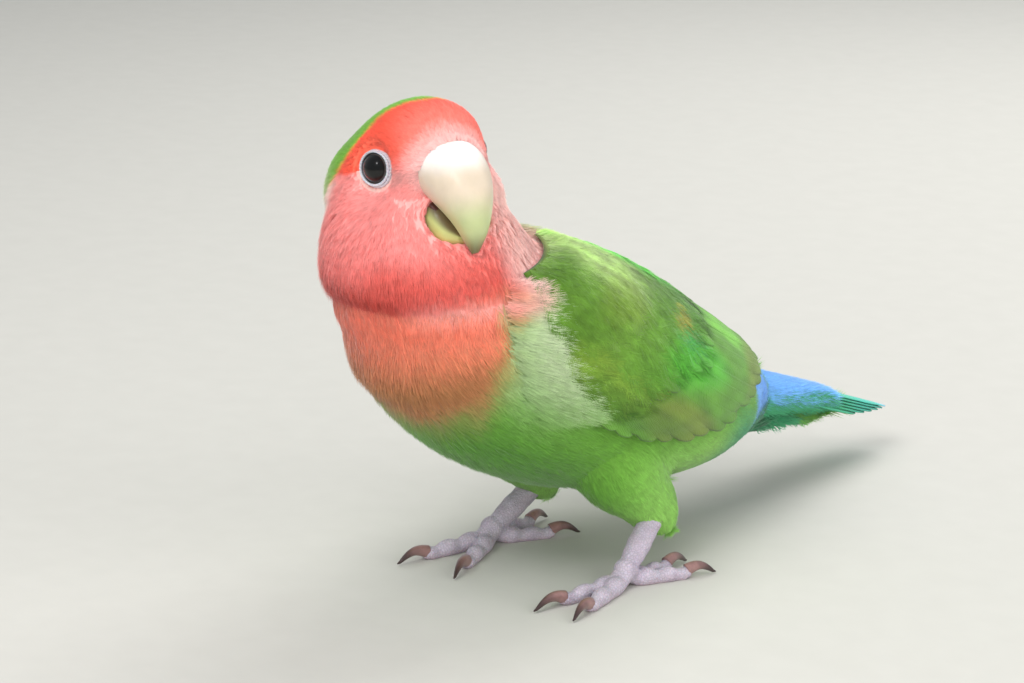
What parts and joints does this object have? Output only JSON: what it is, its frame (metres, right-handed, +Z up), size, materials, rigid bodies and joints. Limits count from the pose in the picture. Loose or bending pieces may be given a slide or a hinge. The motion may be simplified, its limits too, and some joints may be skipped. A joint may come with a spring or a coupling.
{
  "type": "peach faced lovebird",
  "caption": "Life-size still model of a small short-tailed parrot standing on both feet, head turned to its left, wings folded.",
  "frame": {"origin": "on the floor under the middle of the bird's bounding box", "axes": "+Y from the breast towards the tail, +X towards the bird's left side, +Z up"},
  "size_m": [0.053, 0.1408, 0.0872],
  "materials": {
    "face_plumage": "soft dense plumage, orange red to coral pink",
    "body_plumage": "soft dense plumage, bright grass green",
    "wing_plumage": "smooth overlapping feathers, yellowish green",
    "rump_plumage": "soft plumage, sky blue above and green below",
    "tail_plumage": "smooth feathers, teal green",
    "bill_horn": "satin horn, cream to greenish grey",
    "eye": "wet and glossy, near black",
    "bare_skin": "fine granular skin, lilac grey",
    "claw_horn": "smooth dark brown horn"
  },
  "bodies": {
    "root": {"head": "face_plumage", "neck": "face_plumage", "torso": "body_plumage", "rump": "rump_plumage", "tail": "tail_plumage", "bill_upper": "bill_horn", "bill_lower": "bill_horn", "eye_left": "eye", "eye_right": "eye", "eyelids_left": "bare_skin", "eyelids_right": "bare_skin", "wing_left": "wing_plumage", "wing_right": "wing_plumage", "thigh_left": "body_plumage", "thigh_right": "body_plumage", "shank_left": "bare_skin", "shank_right": "bare_skin", "foot_left": "bare_skin", "foot_right": "bare_skin", "claw_left_inner_back": "claw_horn", "claw_left_inner_front": "claw_horn", "claw_left_outer_back": "claw_horn", "claw_left_outer_front": "claw_horn", "claw_right_inner_back": "claw_horn", "claw_right_inner_front": "claw_horn", "claw_right_outer_back": "claw_horn", "claw_right_outer_front": "claw_horn"}
  },
  "joints": []
}
